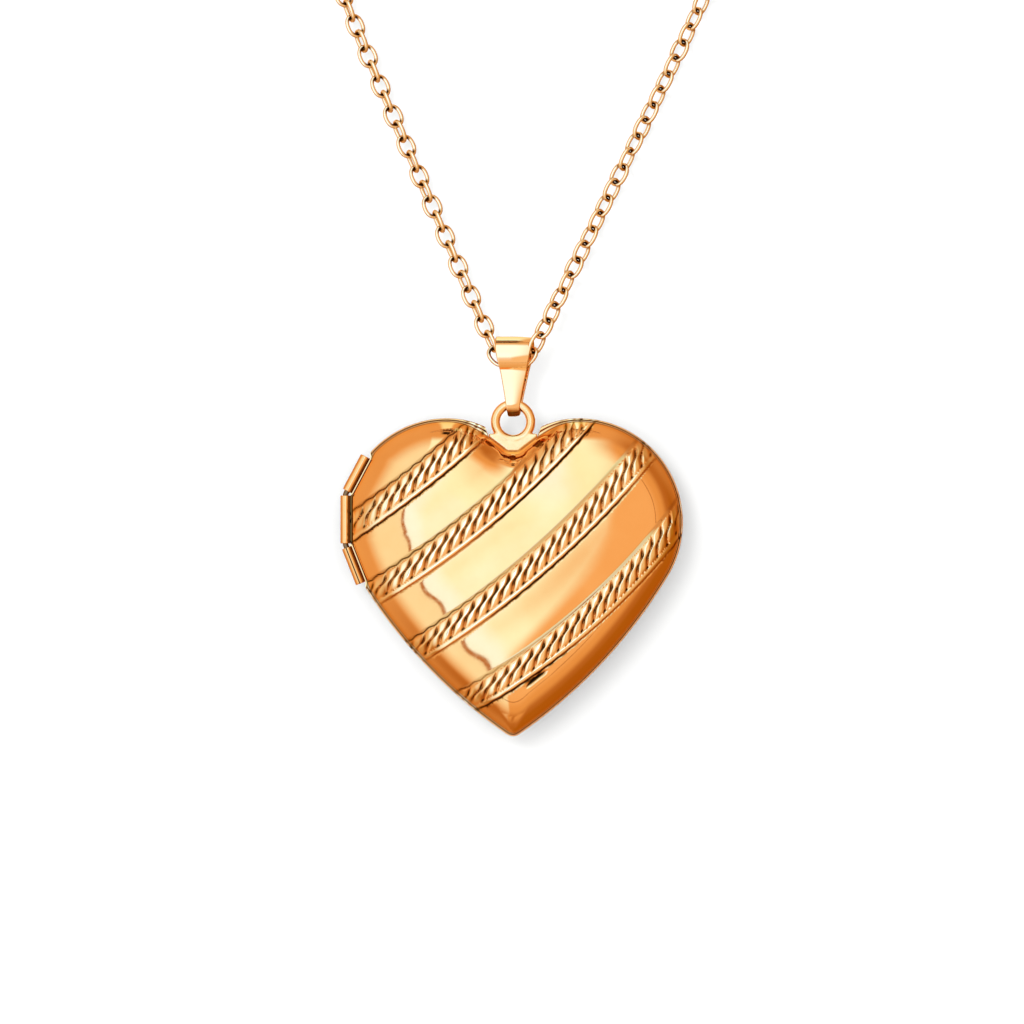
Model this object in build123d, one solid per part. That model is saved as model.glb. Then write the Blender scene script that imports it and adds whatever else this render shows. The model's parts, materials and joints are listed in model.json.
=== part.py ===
from build123d import *
from math import acos, atan2, cos, hypot, pi, radians, sin, sqrt, tan
import os

os.makedirs("parts", exist_ok=True)

# A heart locket on a cable chain, closed and lying on its back. Millimetres.
# +Z points out of the front cover, +Y from the heart's tip to the bail.
# The origin is on the flat land of the back cover, on the heart's centre line.

# Heart outline: two lobes, each tighter on its inner side, two long side arcs,
# a rounded tip and a rounded cleft.
LOBE_R = 9.1
INNER_R = 7.6
LOBE_X = 5.75
LOBE_Y = 3.3
SIDE_R = 45.0
APEX_Y = -15.6
TIP_R = 0.9
CLEFT_R = 0.5
SHARP_TIP_R = 0.12

# Covers: thin pressed sheet with a narrow flat rim, meeting at the seam plane.
SEAM = 2.7
WALL = 0.35
RIM = 0.28
RIM_H = 0.32
FRONT_EDGE = 3.0
FRONT_EDGE_H = 2.35
FRONT_CROWN = 1.05
FRONT_CROWN_RUN = 6.5
BACK_EDGE = 3.6

# Rope-twist stripes across the front, all of one curve, stepped down to the right.
STRIPE_COUNT = 4
STRIPE_R = 68.0
STRIPE_X = -50.5
STRIPE_Y = 60.55
STRIPE_STEP_X = 4.0
STRIPE_STEP_Y = -4.7
STRIPE_W = 1.9
STRIPE_H = 0.28

# Inside of each half: lining plate, photo card, window and frame.
SNAP_IN = 0.80
SNAP_T = 0.28
SNAP_UP = 0.40
SNAP_DOWN = 0.50
SNAP_HINGE_X = -12.6
BEAD_R = 0.30
BEAD_PROUD = 0.10
FRAME_IN = 1.20
FRAME_W = 1.55
FRAME_SKIRT = 0.28
FRAME_T = 0.28
FRAME_GAP = 0.10
SHEET_T = 0.22
SHEET_IN = FRAME_IN + FRAME_SKIRT + 0.05
PLATE_IN = 1.40
PLATE_T = 0.30
STACK_GAP = 0.03

# Hinge: the lid's knuckle turns on the straight middle of a pin whose bent ends
# are held in two knuckles that follow the outline.
HINGE_X = -14.65
KNUCKLE_R = 0.45
PIN_R = 0.24
PIN_PLAY = 0.03
TURN_PLAY = 0.08
HINGE_TOP = 5.75
HINGE_LOW = 1.35
END_GAP = 0.10
UPPER_LEAN = 27.8
UPPER_END = 3.75
UPPER_START = 0.32
LOWER_LEAN = 21.4
LOWER_END = 3.65
LOWER_START = 0.28

# Eyelet: a flat cast ring on a shield-shaped foot in the cleft.
EYE_Y = 12.1
EYE_R = 1.95
EYE_HOLE = 1.15
EYE_Z = 2.30
EYE_T = 1.10
EYE_ROUND = 0.34
FOOT_W = 4.1
FOOT_LOW = 1.80
FOOT_STEP = 0.05
FOOT_TOP = 2.90
NOTCH_W = 4.4

# Bail: a folded strip, wide over the chain and narrow through the eyelet.
BAIL_T = 0.35
BAIL_TOP_Y = 17.85
BAIL_TOP_R = 1.75
BAIL_LOW_Y = 13.66
BAIL_LOW_R = 1.10
BAIL_W_TOP = 3.3
BAIL_W_LOW = 1.0

# Chain: plain tubes for the free strands and one ring for the stored turns.
CHAIN_R = 0.90
FLOOR_Z = 0.95
TUNNEL_Z = 1.35
COIL_X = 1.0
COIL_Y = 65.0
COIL_OUT = 15.2
COIL_IN = 8.6
COIL_H = 4.0
LEFT_ROUTE = [
    (0, BAIL_TOP_Y, TUNNEL_Z),
    (-3.4, BAIL_TOP_Y, TUNNEL_Z),
    (-14.6, 48.3, FLOOR_Z),
    (-16.5, 55.0, FLOOR_Z),
    (-15.9, 61.0, FLOOR_Z),
    (-13.2, 66.2, FLOOR_Z),
]
RIGHT_ROUTE = [
    (0, BAIL_TOP_Y, TUNNEL_Z),
    (3.4, BAIL_TOP_Y, TUNNEL_Z),
    (16.4, 48.3, FLOOR_Z),
    (18.9, 54.6, 1.3),
    (18.3, 60.8, 2.4),
    (15.3, 66.2, 2.9),
]

# Lobster clasp and end ring, lying in the middle of the stored turns.
HOOK_X = COIL_X - 2.8
HOOK_Y = COIL_Y + 2.6
HOOK_Z = 1.0
HOOK_R = 2.2
HOOK_BORE = 1.35
CLASP_T = 1.9
STEM_W = 2.3
STEM_END = -4.3
EYELET_V = -5.2
EYELET_R = 0.95
EYELET_BORE = 0.55
EYELET_T = 0.9
PIVOT_U = 1.15
PIVOT_V = -1.75
BOSS_R = 0.62
TRIGGER_T = 0.6
TRIGGER_SLOT = 1.05
TRIGGER_LOW = 0.12
GATE_TOP = 1.24
GATE_ROOM = 1.32
CLASP_PIN_R = 0.22
SPRING_R = 0.46
SPRING_T = 0.26
LINK_R = 1.08
LINK_WIRE = 0.2
RING_X = COIL_X + 3.6
RING_Y = COIL_Y + 1.3
RING_R = 1.9
RING_WIRE = 0.3
RING_TILT = 5.3


def unit(vector):
    """The same direction at length one."""
    length = hypot(*vector)
    return vector[0] / length, vector[1] / length


def along(start, direction, distance):
    """The point at a distance from start, in the plane."""
    return start[0] + direction[0] * distance, start[1] + direction[1] * distance


def heading(angle):
    """Unit vector at an angle in radians."""
    return cos(angle), sin(angle)


def lobe_to_side():
    """Direction from a lobe's centre to the point where it runs into the side arc."""
    gap = SIDE_R - LOBE_R
    rise = LOBE_Y - APEX_Y
    reach = hypot(LOBE_X, rise)
    swing = acos((reach**2 + gap**2 - SIDE_R**2) / (2 * gap * reach))
    return heading(atan2(rise, LOBE_X) - swing)


LOBE = (LOBE_X, LOBE_Y)
TO_SIDE = lobe_to_side()
SIDE = along(LOBE, TO_SIDE, LOBE_R - SIDE_R)
INNER = (LOBE_X, LOBE_Y + LOBE_R - INNER_R)
CLEFT = (0, INNER[1] + sqrt((INNER_R + CLEFT_R) ** 2 - LOBE_X**2))
TO_CLEFT = unit((CLEFT[0] - INNER[0], CLEFT[1] - INNER[1]))
UPWARD = (0, 1)


def middle(first, second):
    """Direction halfway between two directions."""
    return unit((first[0] + second[0], first[1] + second[1]))


def heart(inset, z=0.0):
    """The heart outline as a face, moved inward by inset."""
    lobe_r = LOBE_R - inset
    inner_r = INNER_R - inset
    side_r = SIDE_R - inset
    tip_r = max(TIP_R - inset, SHARP_TIP_R)
    tip = (0, SIDE[1] - sqrt((side_r - tip_r) ** 2 - SIDE[0] ** 2))
    to_tip = unit((tip[0] - SIDE[0], tip[1] - SIDE[1]))
    start = along(INNER, TO_CLEFT, inner_r)
    shoulder = along(INNER, middle(TO_CLEFT, UPWARD), inner_r)
    crest = along(INNER, UPWARD, inner_r)
    bulge = along(LOBE, middle(UPWARD, TO_SIDE), lobe_r)
    join = along(LOBE, TO_SIDE, lobe_r)
    flank = along(SIDE, middle(TO_SIDE, to_tip), side_r)
    foot = along(SIDE, to_tip, side_r)

    def other(point):
        return -point[0], point[1]

    edges = [
        ThreePointArc(other(start), (0, CLEFT[1] - CLEFT_R - inset), start),
        ThreePointArc(start, shoulder, crest),
        ThreePointArc(crest, bulge, join),
        ThreePointArc(join, flank, foot),
        ThreePointArc(foot, (0, tip[1] - tip_r), other(foot)),
        ThreePointArc(other(foot), other(flank), other(join)),
        ThreePointArc(other(join), other(bulge), other(crest)),
        ThreePointArc(other(crest), other(shoulder), other(start)),
    ]
    return Pos(0, 0, z) * make_face(edges)


def slab(inset, low, high):
    """A heart-shaped plate between two heights."""
    return extrude(heart(inset, low), high - low)


def heart_ring(outer, inner, low, high):
    """A heart-shaped ring between two heights."""
    return slab(outer, low, high) - slab(inner, low - 1, high + 1)


def rise_at(run, edge, edge_h, crown, crown_run):
    """Height of a dome at a distance in from its foot: a round edge and a soft crown."""
    corner = 1 - min(run, edge) / edge
    slope = 1 - min(run, crown_run) / crown_run
    return edge_h * sqrt(max(0.0, 1 - corner**2)) + crown * (1 - slope**2)


def dome(foot, edge, edge_h, crown, crown_run, upward):
    """A solid dome standing on the seam plane, or hanging from it."""
    edge_steps = 5
    crown_steps = 3
    runs = [edge * (1 - cos(pi / 2 * step / edge_steps)) for step in range(edge_steps + 1)]
    if crown > 0:
        runs += [edge + (crown_run - edge) * step / crown_steps for step in range(1, crown_steps + 1)]
    sections = []
    for run in runs:
        height = rise_at(run, edge, edge_h, crown, crown_run)
        sections.append(heart(foot + run, SEAM + upward * height))
    return loft(sections, ruled=True)


def knuckle_axis(lean, start, down):
    """Start point and direction of a tilted knuckle, from the pin's bend."""
    direction = (sin(radians(lean)), -cos(radians(lean)) if down else cos(radians(lean)))
    bend = (HINGE_X, HINGE_LOW if down else HINGE_TOP)
    return along(bend, direction, start), direction


def bar(point, direction, radius, length):
    """A cylinder in the seam plane, from a point along a direction."""
    plane = Plane(origin=(point[0], point[1], SEAM), z_dir=(direction[0], direction[1], 0))
    return extrude(plane * Circle(radius), length)


def middle_knuckle(radius, extra=0.0):
    """The lid's knuckle, or the room around it."""
    start = (HINGE_X, HINGE_LOW + END_GAP - extra)
    return bar(start, (0, 1), radius, HINGE_TOP - HINGE_LOW - 2 * END_GAP + 2 * extra)


def upper_knuckle(radius, extra=0.0):
    """The rear half's upper knuckle, or the room around it."""
    start, direction = knuckle_axis(UPPER_LEAN, UPPER_START - extra, False)
    return bar(start, direction, radius, UPPER_END - UPPER_START + 2 * extra)


def lower_knuckle(radius, extra=0.0):
    """The rear half's lower knuckle, or the room around it."""
    start, direction = knuckle_axis(LOWER_LEAN, LOWER_START - extra, True)
    return bar(start, direction, radius, LOWER_END - LOWER_START + 2 * extra)


def hinge_pin(radius=PIN_R):
    """A pin with a straight middle and two bent ends, or the room around it."""
    pin = bar((HINGE_X, HINGE_LOW), (0, 1), radius, HINGE_TOP - HINGE_LOW)
    for lean, end, down in ((UPPER_LEAN, UPPER_END, False), (LOWER_LEAN, LOWER_END, True)):
        bend, direction = knuckle_axis(lean, 0, down)
        pin += bar(bend, direction, radius, end)
        pin += Pos(bend[0], bend[1], SEAM) * Sphere(radius)
    return pin


def beyond_hinge():
    """Everything left of the hinge axis, which both covers stay clear of."""
    return Pos(HINGE_X - 5, 0, SEAM) * Box(10, 40, 20)


def stripe_room(index):
    """A tall curved band in plan, as wide as one stripe."""
    x = STRIPE_X + STRIPE_STEP_X * index
    y = STRIPE_Y + STRIPE_STEP_Y * index
    band = Circle(STRIPE_R + STRIPE_W / 2) - Circle(STRIPE_R - STRIPE_W / 2)
    return extrude(Pos(x, y, SEAM + RIM_H) * band, 10)


def front_cover():
    """The lid: a pressed dome with a rim and four raised stripes."""
    shape = (FRONT_EDGE, FRONT_EDGE_H, FRONT_CROWN, FRONT_CROWN_RUN)
    cover = slab(0, SEAM, SEAM + RIM_H) + dome(RIM, *shape, 1)
    raised = dome(RIM - 0.08, FRONT_EDGE, FRONT_EDGE_H + STRIPE_H, FRONT_CROWN, FRONT_CROWN_RUN, 1)
    for index in range(STRIPE_COUNT):
        cover += raised & stripe_room(index)
    cover -= dome(RIM + WALL, FRONT_EDGE, FRONT_EDGE_H - WALL, FRONT_CROWN, FRONT_CROWN_RUN, 1)
    cover -= beyond_hinge()
    cover -= middle_knuckle(KNUCKLE_R, END_GAP / 2)
    cover -= upper_knuckle(KNUCKLE_R + TURN_PLAY, END_GAP)
    cover -= lower_knuckle(KNUCKLE_R + TURN_PLAY, END_GAP)
    cover -= hinge_pin(PIN_R + TURN_PLAY)
    cover -= cleft_column(NOTCH_W, SEAM - 1, SEAM + RIM_H) - slab(RIM, SEAM - 1, SEAM + RIM_H)
    cover -= Pos(0, EYE_Y, EYE_Z) * Cylinder(EYE_R + FOOT_STEP, EYE_T + 2 * FOOT_STEP)
    return cover - bead(BEAD_R + TURN_PLAY)


def back_cover():
    """The rear shell: a shallower dome with a flat heart-shaped land."""
    depth = SEAM
    cover = slab(0, SEAM - RIM_H, SEAM) + dome(RIM, BACK_EDGE, depth, 0, 1, -1)
    cover -= dome(RIM + WALL, BACK_EDGE, depth - WALL, 0, 1, -1)
    cover -= beyond_hinge()
    cover -= middle_knuckle(KNUCKLE_R + TURN_PLAY, END_GAP)
    cover -= upper_knuckle(KNUCKLE_R)
    cover -= lower_knuckle(KNUCKLE_R)
    cover -= hinge_pin(PIN_R + PIN_PLAY)
    return cover - eyelet()


def bead(radius):
    """The snap rim's round bead on the side away from the hinge."""
    x = LOBE_X + LOBE_R - SNAP_IN - BEAD_R + BEAD_PROUD
    return Pos(x, LOBE_Y, SEAM + SNAP_UP / 2) * Sphere(radius)


def back_snap_rim():
    """The upstanding rim that the lid snaps over, cut away beside the hinge."""
    rim = heart_ring(SNAP_IN, SNAP_IN + SNAP_T, SEAM - SNAP_DOWN, SEAM + SNAP_UP)
    rim -= Pos(SNAP_HINGE_X - 5, LOBE_Y, SEAM + 1) * Box(10, 14, 2)
    keep_out = middle_knuckle(KNUCKLE_R + TURN_PLAY, END_GAP)
    keep_out += upper_knuckle(KNUCKLE_R + STACK_GAP, END_GAP)
    keep_out += lower_knuckle(KNUCKLE_R + STACK_GAP, END_GAP)
    return rim - keep_out + bead(BEAD_R)


def stack(side):
    """Frame, window, card and plate of one half, from the seam outward by side."""
    pieces = {}
    face = SEAM + side * FRAME_GAP
    under = face + side * FRAME_T

    def between(first, second, build):
        return build(min(first, second), max(first, second))

    window_in = under + side * STACK_GAP
    window_out = window_in + side * SHEET_T
    card_in = window_out + side * STACK_GAP
    card_out = card_in + side * SHEET_T
    plate_in = card_out + side * STACK_GAP
    plate_out = plate_in + side * PLATE_T
    flange = between(face, under, lambda a, b: heart_ring(FRAME_IN, FRAME_IN + FRAME_W, a, b))
    skirt = between(under, card_out, lambda a, b: heart_ring(FRAME_IN, FRAME_IN + FRAME_SKIRT, a, b))
    pieces["photo_frame"] = flange + skirt
    pieces["window"] = between(window_in, window_out, lambda a, b: slab(SHEET_IN, a, b))
    pieces["photo_card"] = between(card_in, card_out, lambda a, b: slab(SHEET_IN, a, b))
    pieces["lining_plate"] = between(plate_in, plate_out, lambda a, b: slab(PLATE_IN, a, b))
    return pieces


def cleft_column(width, low, high):
    """A tall block over the cleft, between two heights."""
    return Pos(0, EYE_Y - 1, (low + high) / 2) * Box(width, 6, high - low)


def eyelet():
    """The ring that the bail hangs from, on its foot in the cleft."""
    place = Pos(0, EYE_Y, EYE_Z)
    ring = place * (Cylinder(EYE_R, EYE_T) - Cylinder(EYE_HOLE, EYE_T))
    ring = fillet(ring.edges(), EYE_ROUND)
    foot_plan = make_hull([*(Pos(0, EYE_Y) * Circle(FOOT_W / 2)).edges(), Line((-1.2, 8.6), (1.2, 8.6))])
    step = SEAM - FOOT_STEP
    lower = extrude(Pos(0, 0, FOOT_LOW) * foot_plan, step - FOOT_LOW) - slab(RIM + WALL, 0, SEAM)
    upper = extrude(Pos(0, 0, step) * foot_plan, FOOT_TOP - step) - slab(RIM - FOOT_STEP, step, FOOT_TOP)
    foot = (lower + upper) & Pos(0, EYE_Y - 3.3, SEAM) * Box(FOOT_W, 6, 2)
    foot -= place * Cylinder(EYE_HOLE + EYE_ROUND, EYE_T * 2)
    return ring + foot


def bail():
    """The folded strip: one loop for the chain, narrowing to one for the eyelet."""
    top = (BAIL_TOP_Y, BAIL_TOP_R)
    low = (BAIL_LOW_Y, EYE_Z)

    def loop(inset):
        upper = Pos(*top) * Circle(BAIL_TOP_R - inset)
        lower = Pos(*low) * Circle(BAIL_LOW_R - inset)
        return make_hull([*upper.edges(), *lower.edges()])

    profile = Plane.YZ * (loop(0) - loop(BAIL_T))
    strip = extrude(profile, BAIL_W_TOP, both=True)
    top_y = BAIL_TOP_Y + BAIL_TOP_R
    low_y = BAIL_LOW_Y - BAIL_LOW_R
    taper = Polyline(
        (-BAIL_W_LOW / 2, low_y - 0.2),
        (BAIL_W_LOW / 2, low_y - 0.2),
        (BAIL_W_TOP / 2, top_y + 0.2),
        (-BAIL_W_TOP / 2, top_y + 0.2),
        close=True,
    )
    return strip & extrude(make_face(taper), 10, both=True)


def route_radii(points):
    """The arc at each inner point: as large as its two runs allow."""
    radii = []
    for before, point, after in zip(points, points[1:], points[2:]):
        first = Vector(*point) - Vector(*before)
        second = Vector(*after) - Vector(*point)
        turn = radians(first.get_angle(second))
        radii.append(0.45 * min(first.length, second.length) / tan(turn / 2))
    return radii


def strand(label, points):
    """A strand's tube along its route."""
    radii = route_radii(points)
    path = FilletPolyline(*points, radius=radii)
    tube = sweep(Plane(path ^ 0) * Circle(CHAIN_R), path=path)
    expected = pi * CHAIN_R**2 * path.length
    print(label, "radii", [round(r, 2) for r in radii], "length", round(path.length, 2))
    print(label, "volume", round(tube.volume, 2), "section x length", round(expected, 2))
    return tube


def chain_coil():
    """The outer shape of the stored turns, with the two ends that reach the rings."""
    turns = Cylinder(COIL_OUT, COIL_H) - Cylinder(COIL_IN, COIL_H)
    coil = Pos(COIL_X, COIL_Y, COIL_H / 2) * turns
    clasp_end = HOOK_Y + EYELET_V - 0.9 - LINK_R
    ring_end = RING_Y - RING_R - LINK_R - 0.2
    for x, end in ((HOOK_X, clasp_end), (RING_X, ring_end)):
        low = COIL_Y - sqrt(COIL_IN**2 - (x - COIL_X) ** 2) - 0.8
        tail = Plane(origin=(x, low, FLOOR_Z), z_dir=(0, 1, 0)) * Circle(CHAIN_R)
        coil += extrude(tail, end - low)
    return coil


def clasp_frame(piece):
    """Move a clasp piece from its own frame to its place."""
    return Pos(HOOK_X, HOOK_Y, HOOK_Z) * piece


def clasp_body():
    """Hook, stem with a slot for the trigger, and an eye at the end."""
    hook = Cylinder(HOOK_R, CLASP_T)
    stem_top = -HOOK_BORE + 0.1
    stem_mid = (stem_top + STEM_END) / 2
    hook += Pos(0, stem_mid, 0) * Box(STEM_W, stem_top - STEM_END, CLASP_T)
    hook += Pos(PIVOT_U, PIVOT_V, 0) * Cylinder(BOSS_R, CLASP_T)
    hook += Pos(0, EYELET_V, 0) * Cylinder(EYELET_R, EYELET_T)
    hook -= Cylinder(HOOK_BORE, CLASP_T + 1)
    hook -= Pos(0, EYELET_V, 0) * Cylinder(EYELET_BORE, CLASP_T + 1)
    mouth_low = PIVOT_V + BOSS_R
    mouth_h = GATE_ROOM - mouth_low
    hook -= Pos(2, mouth_low + mouth_h / 2, 0) * Box(4, mouth_h, CLASP_T + 1)
    hook -= Pos(PIVOT_U + 1.0, PIVOT_V - 0.1, 0) * Box(4.0, 2.0, TRIGGER_SLOT)
    return clasp_frame(hook - clasp_pin_local(CLASP_PIN_R))


def clasp_pin_local(radius):
    """The trigger's pin in the clasp's own frame."""
    return Pos(PIVOT_U, PIVOT_V, 0) * Cylinder(radius, CLASP_T)


def clasp_trigger():
    """The gate that closes the hook, turning on its pin, with a nub for a thumbnail."""
    gate = Cylinder(HOOK_R, TRIGGER_T) - Cylinder(HOOK_BORE + 0.05, TRIGGER_T)
    low = PIVOT_V
    gate &= Pos(2.4, (low + GATE_TOP) / 2, 0) * Box(4, GATE_TOP - low, TRIGGER_T)
    gate += Pos(PIVOT_U, PIVOT_V, 0) * Cylinder(BOSS_R - 0.05, TRIGGER_T)
    gate += Pos(PIVOT_U + 0.95, PIVOT_V - 0.1, 0) * Box(1.5, 0.5, TRIGGER_T)
    gate += Pos(PIVOT_U + 1.7, PIVOT_V - 0.1, 0) * Cylinder(0.4, TRIGGER_T)
    gate = Pos(0, 0, (TRIGGER_SLOT - TRIGGER_T) / 2 - TRIGGER_LOW / 2) * gate
    return clasp_frame(gate - clasp_pin_local(CLASP_PIN_R + PIN_PLAY))


def clasp_spring():
    """The torsion spring's turns, round the pin below the trigger."""
    turns = Cylinder(SPRING_R, SPRING_T) - Cylinder(CLASP_PIN_R + PIN_PLAY, SPRING_T)
    z = -TRIGGER_SLOT / 2 + SPRING_T / 2 + 0.03
    return clasp_frame(Pos(PIVOT_U, PIVOT_V, z) * turns)


def standing_link(x, y):
    """A jump ring standing on edge across the chain's end."""
    return Pos(x, y, LINK_R + LINK_WIRE) * Rot(0, 90, 0) * Torus(LINK_R, LINK_WIRE)


def end_ring():
    """The ring that the clasp hooks into, one side lifted by its jump ring."""
    lift = RING_WIRE + RING_R * sin(radians(RING_TILT))
    return Pos(RING_X, RING_Y, lift) * Rot(-RING_TILT, 0, 0) * Torus(RING_R, RING_WIRE)


def solid_of(shape):
    """The single solid of a boolean's result."""
    solids = shape.solids()
    if len(solids) != 1:
        print("pieces", len(solids), [round(s.volume, 4) for s in solids])
    return max(solids, key=lambda s: s.volume)


def main():
    """Build every node and write its file."""
    nodes = {
        "front_cover": front_cover(),
        "back_cover": back_cover(),
        "back_snap_rim": back_snap_rim(),
        "eyelet": eyelet(),
        "hinge_pin": hinge_pin(),
        "hinge_knuckle_middle": middle_knuckle(KNUCKLE_R) - middle_knuckle(PIN_R + PIN_PLAY, 1),
        "hinge_knuckle_upper": upper_knuckle(KNUCKLE_R) - upper_knuckle(PIN_R, 1),
        "hinge_knuckle_lower": lower_knuckle(KNUCKLE_R) - lower_knuckle(PIN_R, 1),
        "bail": bail(),
        "chain_left_strand": strand("left strand", LEFT_ROUTE),
        "chain_right_strand": strand("right strand", RIGHT_ROUTE),
        "chain_coil": chain_coil(),
        "clasp_body": clasp_body(),
        "clasp_trigger": clasp_trigger(),
        "clasp_pin": clasp_frame(clasp_pin_local(CLASP_PIN_R)),
        "clasp_spring": clasp_spring(),
        "clasp_jump_ring": standing_link(HOOK_X, HOOK_Y + EYELET_V - 0.9),
        "end_ring": end_ring(),
        "end_jump_ring": standing_link(RING_X, RING_Y - RING_R - 0.15),
    }
    for half, side in (("back", -1), ("front", 1)):
        for name, piece in stack(side).items():
            nodes[half + "_" + name] = piece
    for name, shape in nodes.items():
        export_step(solid_of(shape), os.path.join("parts", name + ".step"))
        print(name)


main()
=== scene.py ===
import json
import math

import bpy
import numpy as np
from mathutils import Matrix, Vector


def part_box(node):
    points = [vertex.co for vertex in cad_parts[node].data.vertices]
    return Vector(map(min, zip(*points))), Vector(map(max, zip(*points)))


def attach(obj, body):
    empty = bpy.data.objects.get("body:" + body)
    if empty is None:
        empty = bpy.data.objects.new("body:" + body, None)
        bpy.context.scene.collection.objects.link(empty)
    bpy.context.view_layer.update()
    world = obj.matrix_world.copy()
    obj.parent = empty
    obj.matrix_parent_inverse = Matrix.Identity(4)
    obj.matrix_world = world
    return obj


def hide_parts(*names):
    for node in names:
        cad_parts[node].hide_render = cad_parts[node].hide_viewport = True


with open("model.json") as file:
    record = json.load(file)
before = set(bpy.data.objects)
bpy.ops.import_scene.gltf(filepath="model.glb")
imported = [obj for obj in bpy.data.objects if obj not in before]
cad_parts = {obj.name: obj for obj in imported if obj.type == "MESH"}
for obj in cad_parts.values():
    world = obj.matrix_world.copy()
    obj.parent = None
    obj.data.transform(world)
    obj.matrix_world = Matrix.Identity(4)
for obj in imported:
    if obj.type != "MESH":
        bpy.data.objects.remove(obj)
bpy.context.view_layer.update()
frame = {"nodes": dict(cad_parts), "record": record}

scene = bpy.context.scene
MM = 0.001
TAU = 2 * math.pi

# ---- camera
VIEW_X, VIEW_Y = -0.09, 4.2        # middle of the view on the table, mm
LENS, SENSOR = 120.0, 36.0
FIELD = 89.6                       # width of the view at the seam, mm
SEAM = 2.7                         # height where the two covers meet, mm

camera_data = bpy.data.cameras.new("camera")
camera_data.lens = LENS
camera_data.sensor_width = SENSOR
camera_data.clip_start = 0.01
camera_data.clip_end = 20
camera = bpy.data.objects.new("camera", camera_data)
camera.location = (VIEW_X * MM, VIEW_Y * MM, (SEAM + FIELD * LENS / SENSOR) * MM)
scene.collection.objects.link(camera)
scene.camera = camera
scene.view_settings.view_transform = "Standard"


# ---- helpers
def add_piece(name, mesh, body, material, nodes):
    """Make a mesh in mm a piece on a body, in place of CAD nodes."""
    mesh.transform(Matrix.Scale(MM, 4))
    mesh.materials.append(material)
    obj = bpy.data.objects.new(name, mesh)
    scene.collection.objects.link(obj)
    obj.visible_diffuse = False
    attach(obj, body)
    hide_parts(*nodes)
    return obj


def mesh_piece(name, points, faces, body, material, normals, nodes):
    """A piece from points in mm; its faces are turned to agree with its normals, if given."""
    points = np.asarray(points, float)
    if normals is not None:
        corners = np.array([face[:3] for face in faces])
        a, b, c = points[corners[:, 0]], points[corners[:, 1]], points[corners[:, 2]]
        if (np.cross(b - a, c - a) * np.asarray(normals)[corners[:, 0]]).sum() < 0:
            faces = [face[::-1] for face in faces]
    mesh = bpy.data.meshes.new(name)
    mesh.from_pydata(points.tolist(), [], faces)
    mesh.shade_smooth()
    if normals is not None:
        mesh.normals_split_custom_set_from_vertices(np.asarray(normals, float).tolist())
    return add_piece(name, mesh, body, material, nodes)


def evaluated_mesh(obj):
    """A copy of an object's mesh with its modifiers or its spline worked out."""
    bpy.context.view_layer.update()
    return bpy.data.meshes.new_from_object(obj.evaluated_get(bpy.context.evaluated_depsgraph_get()))


def point_values(mesh, name, values):
    """Store one number per point for a material to read."""
    attribute = mesh.attributes.new(name, "FLOAT", "POINT")
    attribute.data.foreach_set("value", np.asarray(values, np.float32))


def ring_faces(rings, around, close_rings=False, start=0):
    """Quads between successive rings of equal length; each ring is closed."""
    i = np.arange(rings if close_rings else rings - 1)[:, None]
    j = np.arange(around)[None, :]
    a = i * around + j
    b = i * around + (j + 1) % around
    c = ((i + 1) % rings) * around + (j + 1) % around
    d = ((i + 1) % rings) * around + j
    return (np.stack([a, b, c, d], -1).reshape(-1, 4) + start).tolist()


# ---- materials
def node_tree(name):
    material = bpy.data.materials.new(name)
    material.use_nodes = True
    tree = material.node_tree
    return material, tree, tree.nodes["Principled BSDF"]


def add_node(tree, kind, inputs, **settings):
    """A new node; each of its inputs is given a value, or linked to another node's output."""
    node = tree.nodes.new("ShaderNode" + kind)
    for name, value in settings.items():
        setattr(node, name, value)
    for name, value in inputs.items():
        if isinstance(value, bpy.types.NodeSocket):
            tree.links.new(value, node.inputs[name])
        else:
            node.inputs[name].default_value = value
    return node


def noise(tree, scale, detail, stretch=(1, 1, 1), rough=0.5):
    """A noise texture on object coordinates."""
    coords = add_node(tree, "TexCoord", {})
    mapping = add_node(tree, "Mapping", {"Vector": coords.outputs["Object"], "Scale": stretch})
    texture = add_node(tree, "TexNoise", {"Vector": mapping.outputs["Vector"], "Scale": scale,
                                          "Detail": detail, "Roughness": rough})
    return texture.outputs["Fac"]


def remap(tree, value, low, high, new_low, new_high, **settings):
    node = add_node(tree, "MapRange", {"Value": value, "From Min": low, "From Max": high,
                                       "To Min": new_low, "To Max": new_high}, **settings)
    return node.outputs["Result"]


def blend_colours(tree, factor, first, second):
    """first where factor is 0, second where it is 1; each is a colour or an output."""
    a, b = ((*colour, 1) if isinstance(colour, tuple) else colour for colour in (first, second))
    node = add_node(tree, "Mix", {"Factor": factor, "A": a, "B": b}, data_type="RGBA")
    return node.outputs["Result"]


def bump(tree, height, distance, strength):
    node = add_node(tree, "Bump", {"Height": height, "Distance": distance, "Strength": strength})
    return node.outputs["Normal"]


EDGE_TINT = (1.0, 0.70, 0.42, 1)     # reflections stay golden where a surface turns away


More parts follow.
